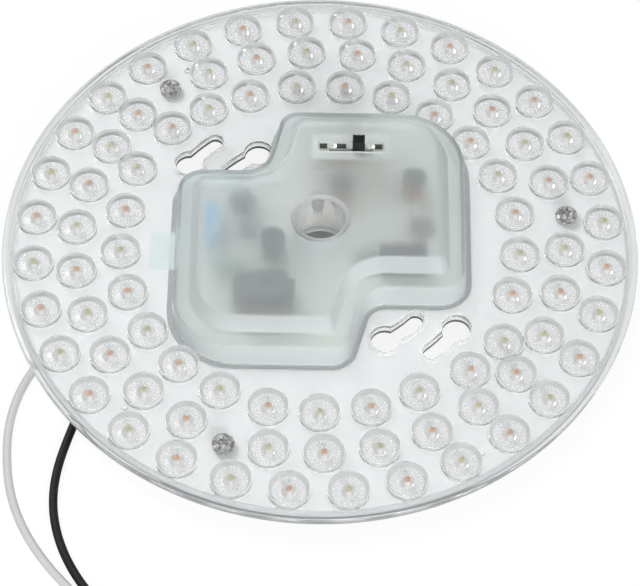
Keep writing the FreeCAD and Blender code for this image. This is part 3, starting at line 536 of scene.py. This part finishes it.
def make_joints():
    """Solder at both ends of each chip: a wedge that falls from the chip's end to the board."""
    chips_low, chips_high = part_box("chip_resistors")
    back, front = chips_high.y - 0.1 * MM, chips_low.y + 0.1 * MM
    base = Z_SWITCH_BOARD
    wedge = np.array([(0.0, front, base), (1.0, front, base), (1.0, back, base), (0.0, back, base),
                      (0.0, front, base + JOINT_H), (0.75, front + JOINT_INSET, base + JOINT_TOE),
                      (0.75, back - JOINT_INSET, base + JOINT_TOE), (0.0, back, base + JOINT_H)])
    faces = [[3, 2, 1, 0], [4, 5, 6, 7], [0, 1, 5, 4], [1, 2, 6, 5], [2, 3, 7, 6], [3, 0, 4, 7]]
    first = chips_low.x + CHIP_L / 2
    points = []
    every = []
    for number in range(CHIP_COUNT):
        for side in (-1.0, 1.0):
            joint = wedge.copy()
            joint[:, 0] = first + number * CHIP_PITCH + side * (CHIP_L / 2 + wedge[:, 0] * JOINT_L)
            turned_faces = faces if side > 0 else [face[::-1] for face in faces]
            every += [[v + 8 * len(points) for v in face] for face in turned_faces]
            points.append(joint)
    piece = add_object("chip_joints", np.concatenate(points), every)
    dress(piece, materials["solder"])
    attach(piece, "module")


def make_marks():
    """Thin printed shapes on the LED board: a triangle by each warm package of the half with y < 0,
    and one pale bar.
    """
    places = package_places("warm_leds")
    places = places[places[:, 1] < 0.0]
    half = MARK_W / 2
    shape = np.array([(-half, MARK_OUT + half), (0.0, MARK_OUT - half), (half, MARK_OUT + half)])
    flat = places[:, None, :] + shape[None]
    low = np.concatenate([flat, np.full((len(flat), 3, 1), Z_BOARD)], -1)
    high = np.concatenate([flat, np.full((len(flat), 3, 1), Z_BOARD + MARK_T)], -1)
    points = np.concatenate([low, high], 1).reshape(-1, 3)
    one = [[2, 1, 0], [3, 4, 5], [0, 1, 4, 3], [1, 2, 5, 4], [2, 0, 3, 5]]
    faces = [[v + 6 * i for v in face] for i in range(len(flat)) for face in one]
    piece = add_object("printed_triangles", points, faces)
    dress(piece, materials["teal_print"])
    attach(piece, "module")
    bar = box_solid("printed_bar", (BAR_X[0], BAR_Y[0], Z_BOARD), (BAR_X[1], BAR_Y[1], Z_BOARD + MARK_T))
    dress(bar, materials["pale_print"])
    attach(bar, "module")


# Driver cover

def cover_section(offset, top, shoulder, low, edge):
    """(inset, height) levels of the two steps, with rounded edges and a round inner corner."""
    turn = np.linspace(0.0, math.pi / 2, 6)
    wall = [(offset, low)]
    shoulder_edge = np.stack([SHOULDER_OUT + edge * (1.0 - np.cos(turn)),
                              shoulder - edge * (1.0 - np.sin(turn))], -1) + (offset, 0.0)
    corner = np.stack([SHOULDER_IN - edge * (1.0 - np.sin(turn)),
                       shoulder + edge * (1.0 - np.cos(turn))], -1) + (offset, 0.0)
    top_edge = np.stack([TOP_INSET + edge * (1.0 - np.cos(turn)),
                         top - edge * (1.0 - np.sin(turn))], -1) + (offset, 0.0)
    return wall + shoulder_edge.tolist() + corner.tolist() + top_edge.tolist()


def make_driver_cover():
    cover = cover_levels("frosted_driver_cover", cover_section(
        0.0, Z_COVER, Z_SHOULDER, Z_BOARD, 1.3 * MM))
    room = cover_levels("room", cover_section(
        COVER_WALL, Z_COVER - COVER_WALL, Z_SHOULDER - COVER_WALL, Z_BOARD - 1.0 * MM, 0.8 * MM))
    foot_top = Z_PLATE_BACK - OPENING_CLEARANCE
    foot = prism("foot", cover_outline(-FOOT_W), Z_BOARD, foot_top)
    work_out(cover, [foot], "UNION")
    work_out(cover, [room], "DIFFERENCE")
    tube = turned("tube", rod_profile(TUBE_R, Z_TUBE, Z_COVER - 0.5 * MM), 96)
    work_out(cover, [tube], "UNION")
    turn = np.linspace(0.0, math.pi / 2, 6)
    mouth = np.stack([BORE_R + MOUTH_ROUND * (1.0 - np.cos(turn)),
                      Z_COVER - MOUTH_ROUND * (1.0 - np.sin(turn))], -1).tolist()
    bore = turned("bore", [(SEAM, Z_TUBE - MM), (BORE_R, Z_TUBE - MM)] + mouth
                  + [(BORE_R + MOUTH_ROUND, Z_COVER + MM), (SEAM, Z_COVER + MM)], 96)
    window = box_solid("window", (SWITCH_X - WINDOW_L / 2, SWITCH_Y - WINDOW_W / 2, Z_COVER - 3 * MM),
                       (SWITCH_X + WINDOW_L / 2, SWITCH_Y + WINDOW_W / 2, Z_COVER + MM))
    work_out(cover, [bore, window], "DIFFERENCE")
    smooth(cover, 35.0)
    return cover


def dress_driver_cover(cover):
    """Clear tube with a white share that paints reflections, the walls and the mouth of the bore paler as
    painted light, and frosted plastic on the rest.
    """
    middles, normals = face_data(cover.data)
    out = np.hypot(middles[:, 0], middles[:, 1])
    steep = np.abs(normals[:, 2]) < 0.5
    in_tube = steep & (out < TUBE_R + 0.1 * MM)
    in_mouth = (out < BORE_R + MOUTH_ROUND) & (out > BORE_R + 0.01 * MM) & (normals[:, 2] > 0.05)
    in_wall = steep & (out > 2.0 * TUBE_R)
    split_finishes(cover, [materials[name] for name in COVER_FINISHES],
                   [in_tube & ~in_mouth, in_wall | in_mouth])


# Leads

def make_lead(name, route):
    """Round lead along a smooth line that has the route's points as its control points."""
    curve = bpy.data.curves.new(name, "CURVE")
    curve.dimensions = "3D"
    spline = curve.splines.new("NURBS")
    spline.points.add(len(route) - 1)
    for point, place in zip(spline.points, route):
        point.co = (place[0] * MM, place[1] * MM, place[2] * MM, 1.0)
    spline.order_u = 3
    spline.use_endpoint_u = True
    spline.resolution_u = 8
    curve.bevel_depth = LEAD_D / 2
    curve.bevel_resolution = 6
    curve.use_fill_caps = True
    piece = bpy.data.objects.new(name, curve)
    bpy.context.scene.collection.objects.link(piece)
    return piece


# Materials

def new_material(name):
    material = bpy.data.materials.new(name)
    material.use_nodes = True
    nodes = material.node_tree.nodes
    return material, nodes["Principled BSDF"], nodes, material.node_tree.links


def coordinates(nodes, links, scale=(1.0, 1.0, 1.0)):
    source = nodes.new("ShaderNodeTexCoord")
    mapping = nodes.new("ShaderNodeMapping")
    mapping.inputs["Scale"].default_value = scale
    links.new(source.outputs["Object"], mapping.inputs["Vector"])
    return mapping.outputs["Vector"]


def noise(nodes, links, vector, scale, detail=3.0, roughness=0.5):
    texture = nodes.new("ShaderNodeTexNoise")
    texture.inputs["Scale"].default_value = scale
    texture.inputs["Detail"].default_value = detail
    texture.inputs["Roughness"].default_value = roughness
    links.new(vector, texture.inputs["Vector"])
    return texture.outputs["Fac"]


def blend_colours(nodes, links, factor, dark, light, low=0.3, high=0.7):
    ramp = nodes.new("ShaderNodeValToRGB")
    ramp.color_ramp.elements[0].position = low
    ramp.color_ramp.elements[0].color = (*dark, 1.0)
    ramp.color_ramp.elements[1].position = high
    ramp.color_ramp.elements[1].color = (*light, 1.0)
    links.new(factor, ramp.inputs["Fac"])
    return ramp.outputs["Color"]


def spread(nodes, links, factor, low, high):
    span = nodes.new("ShaderNodeMapRange")
    span.inputs["To Min"].default_value = low
    span.inputs["To Max"].default_value = high
    links.new(factor, span.inputs["Value"])
    return span.outputs["Result"]


def add_bump(nodes, links, shader, height, strength, distance):
    bump = nodes.new("ShaderNodeBump")
    bump.inputs["Strength"].default_value = strength
    bump.inputs["Distance"].default_value = distance
    links.new(height, bump.inputs["Height"])
    links.new(bump.outputs["Normal"], shader.inputs["Normal"])


def plain_finish(name, dark, light, grain, rough=(0.4, 0.5), metallic=0.0, bump=0.2, depth=0.02 * MM,
                 stretch=(1.0, 1.0, 1.0)):
    """Opaque finish: two close colours mixed by a grain, with roughness and bump from the same grain."""
    material, shader, nodes, links = new_material(name)
    vector = coordinates(nodes, links, stretch)
    fine = noise(nodes, links, vector, grain, 4.0)
    coarse = noise(nodes, links, vector, grain / 9.0, 2.0)
    links.new(blend_colours(nodes, links, coarse, dark, light), shader.inputs["Base Color"])
    links.new(spread(nodes, links, fine, *rough), shader.inputs["Roughness"])
    shader.inputs["Metallic"].default_value = metallic
    add_bump(nodes, links, shader, fine, bump, depth)
    return material


def let_lamps_through(shader, nodes, links, share):
    """Lets the share of a lamp's light through a clear wall, straight on, to what lies behind it."""
    rays = nodes.new("ShaderNodeLightPath")
    clear = nodes.new("ShaderNodeBsdfTransparent")
    clear.inputs["Color"].default_value = (share, share, share, 1.0)
    mix = nodes.new("ShaderNodeMixShader")
    links.new(rays.outputs["Is Shadow Ray"], mix.inputs["Fac"])
    links.new(shader.outputs[0], mix.inputs[1])
    links.new(clear.outputs[0], mix.inputs[2])
    links.new(mix.outputs[0], nodes["Material Output"].inputs["Surface"])


def coated_board():
    """White solder mask on the faces of the board, and bare aluminium along its cut edges, its dark grey
    partly painted shade.
    """
    material, shader, nodes, links = new_material("white_solder_mask")
    vector = coordinates(nodes, links)
    fine = noise(nodes, links, vector, 900.0, 4.0)
    coarse = noise(nodes, links, vector, 100.0, 2.0)
    mask = blend_colours(nodes, links, coarse, (0.80, 0.82, 0.825), (0.83, 0.845, 0.85))
    # Cut edges: bare aluminium, darkened to a grey that is partly painted shade.
    edge_metal_and_shade = blend_colours(nodes, links, fine, (0.16, 0.16, 0.165), (0.26, 0.26, 0.265))
    facing = nodes.new("ShaderNodeNewGeometry")
    split = nodes.new("ShaderNodeSeparateXYZ")
    links.new(facing.outputs["Normal"], split.inputs[0])
    level = nodes.new("ShaderNodeMath")
    level.operation = "ABSOLUTE"
    links.new(split.outputs["Z"], level.inputs[0])
    flat = nodes.new("ShaderNodeMath")
    flat.operation = "GREATER_THAN"
    flat.inputs[1].default_value = 0.5
    links.new(level.outputs[0], flat.inputs[0])
    mix = nodes.new("ShaderNodeMix")
    mix.data_type = "RGBA"
    links.new(flat.outputs[0], mix.inputs["Factor"])
    links.new(edge_metal_and_shade, mix.inputs["A"])
    links.new(mask, mix.inputs["B"])
    links.new(mix.outputs["Result"], shader.inputs["Base Color"])
    links.new(spread(nodes, links, fine, 0.35, 0.45), shader.inputs["Roughness"])
    add_bump(nodes, links, shader, fine, 0.2, 0.02 * MM)
    return material


def clear_finish(name, colour, transmission, rough, grain, bump, depth, share):
    """Clear moulded plastic: its grain drives roughness and bump, and a share of lamp light passes."""
    material, shader, nodes, links = new_material(name)
    vector = coordinates(nodes, links)
    shader.inputs["Base Color"].default_value = (*colour, 1.0)
    shader.inputs["Transmission Weight"].default_value = transmission
    shader.inputs["IOR"].default_value = 1.49
    flow = noise(nodes, links, vector, grain, 2.0)
    links.new(spread(nodes, links, flow, *rough), shader.inputs["Roughness"])
    add_bump(nodes, links, shader, flow, bump, depth)
    let_lamps_through(shader, nodes, links, share)
    return material


def frosted_plastic():
    material, shader, nodes, links = new_material("frosted_plastic")
    vector = coordinates(nodes, links)
    fine = noise(nodes, links, vector, 2500.0, 3.0)
    cloud = noise(nodes, links, vector, 30.0, 3.0)
    tint = blend_colours(nodes, links, cloud, (0.90, 0.955, 0.958), (0.94, 0.985, 0.985))
    links.new(tint, shader.inputs["Base Color"])
    shader.inputs["Transmission Weight"].default_value = 0.87
    shader.inputs["IOR"].default_value = 1.45
    links.new(spread(nodes, links, fine, 0.38, 0.48), shader.inputs["Roughness"])
    add_bump(nodes, links, shader, fine, 0.15, 0.01 * MM)
    let_lamps_through(shader, nodes, links, 0.95)
    return material


def phosphor(name, middle, edge):
    """Coloured silicone that converts the light of an LED."""
    return plain_finish(name, middle, edge, 900.0, (0.3, 0.4), 0.0, 0.1)


FINISHES = {
    "white_solder_mask": coated_board,
    "warm_phosphor": lambda: phosphor("warm_phosphor", (0.70, 0.27, 0.03), (0.80, 0.36, 0.06)),
    "cool_phosphor": lambda: phosphor("cool_phosphor", (0.52, 0.50, 0.09), (0.60, 0.58, 0.15)),
    # Solder: silvery metal, its pale green-white tint partly painted glint.
    "solder": lambda: plain_finish(
        "solder", (0.62, 0.72, 0.68), (0.8, 0.88, 0.85), 3000.0, (0.15, 0.35), 0.5, 0.4),
    "teal_print": lambda: plain_finish(
        "teal_print", (0.24, 0.62, 0.56), (0.32, 0.7, 0.64), 1500.0, (0.5, 0.6)),
    "pale_print": lambda: plain_finish(
        "pale_print", (0.66, 0.75, 0.74), (0.71, 0.80, 0.79), 400.0, (0.5, 0.6)),
    "white_sheet": lambda: plain_finish(
        "white_sheet", (0.80, 0.80, 0.78), (0.86, 0.86, 0.84), 600.0, (0.5, 0.6)),
    "green_board": lambda: plain_finish(
        "green_board", (0.58, 0.575, 0.53), (0.67, 0.66, 0.61), 700.0, (0.35, 0.5)),
    "tinned_metal": lambda: plain_finish(
        "tinned_metal", (0.62, 0.62, 0.61), (0.75, 0.75, 0.74), 1500.0, (0.2, 0.35), 1.0),
    "chip_black": lambda: plain_finish(
        "chip_black", (0.03, 0.03, 0.032), (0.05, 0.05, 0.052), 1500.0, (0.3, 0.45)),
    "moulded_black": lambda: plain_finish(
        "moulded_black", (0.006, 0.006, 0.007), (0.012, 0.012, 0.013), 2500.0, (0.45, 0.6)),
    "switch_steel": lambda: plain_finish(
        "switch_steel", (0.55, 0.55, 0.54), (0.7, 0.7, 0.69), 1800.0, (0.25, 0.4), 1.0),
    "laminate": lambda: plain_finish(
        "laminate", (0.38, 0.24, 0.11), (0.5, 0.34, 0.17), 900.0, (0.5, 0.65)),
    "brass": lambda: plain_finish("brass", (0.6, 0.45, 0.2), (0.72, 0.56, 0.28), 1500.0, (0.2, 0.35), 1.0),
    "ferrite": lambda: plain_finish(
        "ferrite", (0.05, 0.05, 0.052), (0.09, 0.09, 0.092), 2200.0, (0.55, 0.75)),
    "bobbin_plastic": lambda: plain_finish(
        "bobbin_plastic", (0.04, 0.04, 0.04), (0.06, 0.06, 0.06), 1500.0, (0.4, 0.55)),
    "yellow_tape": lambda: plain_finish(
        "yellow_tape", (0.16, 0.14, 0.10), (0.24, 0.21, 0.15), 400.0, (0.25, 0.35)),
    "copper_wire": lambda: plain_finish(
        "copper_wire", (0.35, 0.1, 0.03), (0.6, 0.24, 0.09), 900.0, (0.25, 0.35), 0.6, 0.6, 0.1 * MM,
        (0.2, 0.2, 4.0)),
    "capacitor_sleeve": lambda: plain_finish(
        "capacitor_sleeve", (0.02, 0.02, 0.03), (0.04, 0.04, 0.055), 800.0, (0.25, 0.35)),
    "film_box": lambda: plain_finish(
        "film_box", (0.22, 0.42, 0.62), (0.3, 0.5, 0.7), 900.0, (0.35, 0.45)),
    "varistor_blue": lambda: plain_finish(
        "varistor_blue", (0.10, 0.12, 0.16), (0.15, 0.17, 0.22), 900.0, (0.25, 0.4)),
    "resistor_body": lambda: plain_finish(
        "resistor_body", (0.2, 0.33, 0.28), (0.3, 0.43, 0.38), 900.0, (0.4, 0.5)),
    # Screw steel: its dark and white blotches of colour are painted reflections.
    "bright_steel": lambda: plain_finish(
        "bright_steel", (0.16, 0.16, 0.16), (1.0, 1.0, 0.99), 7000.0, (0.1, 0.25), 0.4),
    "magnet_nickel": lambda: plain_finish(
        "magnet_nickel", (0.5, 0.5, 0.5), (0.62, 0.62, 0.62), 2500.0, (0.15, 0.3), 1.0),
    "clamp_plastic": lambda: plain_finish(
        "clamp_plastic", (0.78, 0.78, 0.77), (0.86, 0.86, 0.85), 1200.0, (0.45, 0.55)),
    "white_insulation": lambda: plain_finish(
        "white_insulation", (0.94, 0.94, 0.945), (0.97, 0.97, 0.975), 1500.0, (0.35, 0.5)),
    "black_insulation": lambda: plain_finish(
        "black_insulation", (0.003, 0.003, 0.0035), (0.007, 0.007, 0.0075), 1500.0, (0.5, 0.65)),
    "led_frame": lambda: plain_finish(
        "led_frame", (0.84, 0.84, 0.82), (0.9, 0.9, 0.885), 1500.0, (0.35, 0.5)),
    "clear_plastic": lambda: clear_finish(
        "clear_plastic", (0.995, 1.0, 0.998), 1.0, (0.0, 0.03), 60.0, 0.05, 0.05 * MM, 0.97),
    "grained_plastic": lambda: clear_finish(
        "grained_plastic", (0.995, 1.0, 1.0), 0.6, (0.15, 0.35), 2200.0, 0.03, 0.03 * MM, 0.97),
    # Satin on the dish walls: a real grain, and a darker grey that is painted shade.
    "satin_plastic_painted_shade": lambda: clear_finish(
        "satin_plastic_painted_shade", (0.80, 0.81, 0.815), 0.4, (0.15, 0.3), 900.0, 0.1, 0.02 * MM, 0.85),
    "lip_plastic": lambda: clear_finish(
        "lip_plastic", (0.80, 0.83, 0.83), 0.7, (0.02, 0.1), 200.0, 0.1, 0.03 * MM, 0.9),
    "eye_plastic": lambda: clear_finish(
        "eye_plastic", (0.98, 0.985, 0.985), 0.68, (0.15, 0.3), 1200.0, 0.1, 0.02 * MM, 0.75),
    "frosted_plastic": frosted_plastic,
    # Paler copy of the frosted plastic for the cover's walls and the bore's mouth: painted light.
    "frosted_wall_painted_light": lambda: clear_finish(
        "frosted_wall_painted_light", (0.93, 0.965, 0.965), 0.45, (0.38, 0.48), 2500.0, 0.15, 0.01 * MM, 0.9),
    # Clear tube with a share of white that paints the reflections in the bore.
    "tube_plastic": lambda: clear_finish(
        "tube_plastic", (0.98, 0.99, 0.99), 0.75, (0.03, 0.12), 300.0, 0.2, 0.05 * MM, 0.9),
}

# Finishes of the two covers: the first is on every face that no mask picks
LENS_FINISHES = ("clear_plastic", "grained_plastic", "satin_plastic_painted_shade", "eye_plastic", "lip_plastic")
COVER_FINISHES = ("frosted_plastic", "tube_plastic", "frosted_wall_painted_light")


def dress(piece, material):
    piece.data.materials.clear()
    piece.data.materials.append(material)


def dress_nodes(materials):
    for part in frame["record"]["subparts"]:
        dress(NODES[part["node"]], materials[part["material_slot"]])


# Studio

def seen_directly(nodes, links, rays):
    """1 for the camera's rays, also behind clear plastic, and 0 for light that a surface gathers."""
    gathered = nodes.new("ShaderNodeMath")
    gathered.operation = "LESS_THAN"
    gathered.inputs[1].default_value = 0.5
    links.new(rays.outputs["Diffuse Depth"], gathered.inputs[0])
    through = nodes.new("ShaderNodeMath")
    through.operation = "MULTIPLY"
    links.new(rays.outputs["Is Transmission Ray"], through.inputs[0])
    links.new(gathered.outputs[0], through.inputs[1])
    seen = nodes.new("ShaderNodeMath")
    seen.operation = "MAXIMUM"
    links.new(rays.outputs["Is Camera Ray"], seen.inputs[0])
    links.new(through.outputs[0], seen.inputs[1])
    return seen.outputs[0]


def make_floor():
    """Pale paper that glows where it is seen directly and keeps a shadow; no glow under the bore, as
    painted shade.
    """
    half = FLOOR_HALF
    floor = add_object("floor", [(-half, -half, 0.0), (half, -half, 0.0), (half, half, 0.0),
                                 (-half, half, 0.0)], [[0, 1, 2, 3]])
    material, shader, nodes, links = new_material("floor_paper")
    shader.inputs["Base Color"].default_value = (0.92, 0.92, 0.92, 1.0)
    shader.inputs["Roughness"].default_value = 0.8
    shader.inputs["Specular IOR Level"].default_value = 0.1
    glow = nodes.new("ShaderNodeEmission")
    glow.inputs["Strength"].default_value = FLOOR_GLOW
    rays = nodes.new("ShaderNodeLightPath")
    share = nodes.new("ShaderNodeMath")
    share.operation = "MULTIPLY"
    links.new(seen_directly(nodes, links, rays), share.inputs[0])
    out = nodes.new("ShaderNodeVectorMath")
    out.operation = "LENGTH"
    links.new(coordinates(nodes, links), out.inputs[0])
    # Glow share rises from none within two bore radii of the axis: painted shade under the bore.
    painted_bore_shade = nodes.new("ShaderNodeMapRange")
    painted_bore_shade.inputs["From Min"].default_value = 2.0 * BORE_R
    painted_bore_shade.inputs["From Max"].default_value = 3.0 * BORE_R
    painted_bore_shade.inputs["To Max"].default_value = FLOOR_GLOW_SHARE
    links.new(out.outputs["Value"], painted_bore_shade.inputs["Value"])
    links.new(painted_bore_shade.outputs["Result"], share.inputs[1])
    mix = nodes.new("ShaderNodeMixShader")
    links.new(share.outputs[0], mix.inputs["Fac"])
    links.new(shader.outputs[0], mix.inputs[1])
    links.new(glow.outputs[0], mix.inputs[2])
    links.new(mix.outputs[0], nodes["Material Output"].inputs["Surface"])
    dress(floor, material)


def make_world():
    """Sky that is pale overhead and grey towards the horizon, white to the camera, and partly white
    in reflections.
    """
    world = bpy.data.worlds.new("studio")
    bpy.context.scene.world = world
    world.use_nodes = True
    nodes = world.node_tree.nodes
    links = world.node_tree.links
    background = nodes["Background"]
    source = nodes.new("ShaderNodeTexCoord")
    split = nodes.new("ShaderNodeSeparateXYZ")
    links.new(source.outputs["Generated"], split.inputs[0])
    ramp = nodes.new("ShaderNodeValToRGB")
    ramp.color_ramp.elements[0].position = 0.1
    ramp.color_ramp.elements[0].color = (0.2, 0.2, 0.205, 1.0)
    ramp.color_ramp.elements[1].position = 0.6
    ramp.color_ramp.elements[1].color = (0.4, 0.4, 0.405, 1.0)
    links.new(split.outputs["Z"], ramp.inputs["Fac"])
    rays = nodes.new("ShaderNodeLightPath")
    mix = nodes.new("ShaderNodeMix")
    mix.data_type = "RGBA"
    gloss = nodes.new("ShaderNodeMath")
    gloss.operation = "MULTIPLY"
    gloss.inputs[1].default_value = GLOSS_SHARE
    links.new(rays.outputs["Is Glossy Ray"], gloss.inputs[0])
    white = nodes.new("ShaderNodeMath")
    white.operation = "MAXIMUM"
    links.new(seen_directly(nodes, links, rays), white.inputs[0])
    links.new(gloss.outputs[0], white.inputs[1])
    links.new(white.outputs[0], mix.inputs["Factor"])
    links.new(ramp.outputs["Color"], mix.inputs["A"])
    mix.inputs["B"].default_value = (1.0, 1.0, 1.0, 1.0)
    links.new(mix.outputs["Result"], background.inputs["Color"])
    background.inputs["Strength"].default_value = 1.0


def make_lamp(name, place, power):
    """Square lamp that points at the origin."""
    data = bpy.data.lights.new(name, "AREA")
    data.size = LAMP_SIZE
    data.energy = power
    lamp = bpy.data.objects.new(name, data)
    lamp.location = place
    lamp.rotation_euler = (-Vector(place)).to_track_quat("-Z", "Y").to_euler()
    bpy.context.scene.collection.objects.link(lamp)


def make_camera():
    """Camera at the photograph's place: it looks down at the module from the side of the leads."""
    elevation = math.radians(CAMERA_ELEVATION)
    roll = math.radians(CAMERA_ROLL)
    back = Vector((0.0, -math.cos(elevation), math.sin(elevation)))
    level = Vector((1.0, 0.0, 0.0))
    up = back.cross(level)
    right = level * math.cos(roll) + up * math.sin(roll)
    up = up * math.cos(roll) - level * math.sin(roll)
    data = bpy.data.cameras.new("photo_camera")
    data.sensor_width = SENSOR_W
    data.lens = FOCAL_PX / PHOTO_W * SENSOR_W
    data.clip_start = 0.01
    data.clip_end = 20.0
    camera = bpy.data.objects.new("photo_camera", data)
    bpy.context.scene.collection.objects.link(camera)
    place = CAMERA_AIM + back * CAMERA_DISTANCE
    camera.matrix_world = Matrix.Translation(place) @ Matrix((right, up, back)).transposed().to_4x4()
    bpy.context.scene.camera = camera


# The scene

materials = {name: make() for name, make in FINISHES.items()}
dress_nodes(materials)

lens_cover = make_lens_cover()
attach(lens_cover, "module")
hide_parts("lens_cover")

make_packages("warm_leds", "warm_phosphor")
make_packages("cool_leds", "cool_phosphor")
make_joints()
make_marks()

driver_cover = make_driver_cover()
dress_driver_cover(driver_cover)
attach(driver_cover, "module")
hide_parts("driver_cover")

for lead_node, route, slot in (("white_lead", WHITE_ROUTE, "white_insulation"),
                               ("black_lead", BLACK_ROUTE, "black_insulation")):
    flex = make_lead("supple_" + lead_node, route)
    dress(flex, materials[slot])
    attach(flex, "module")
    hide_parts(lead_node)

make_floor()
make_world()
make_lamp("key_box", *KEY_LAMP)
make_lamp("front_box", *FRONT_LAMP)
make_camera()
bpy.context.scene.view_settings.view_transform = "Standard"
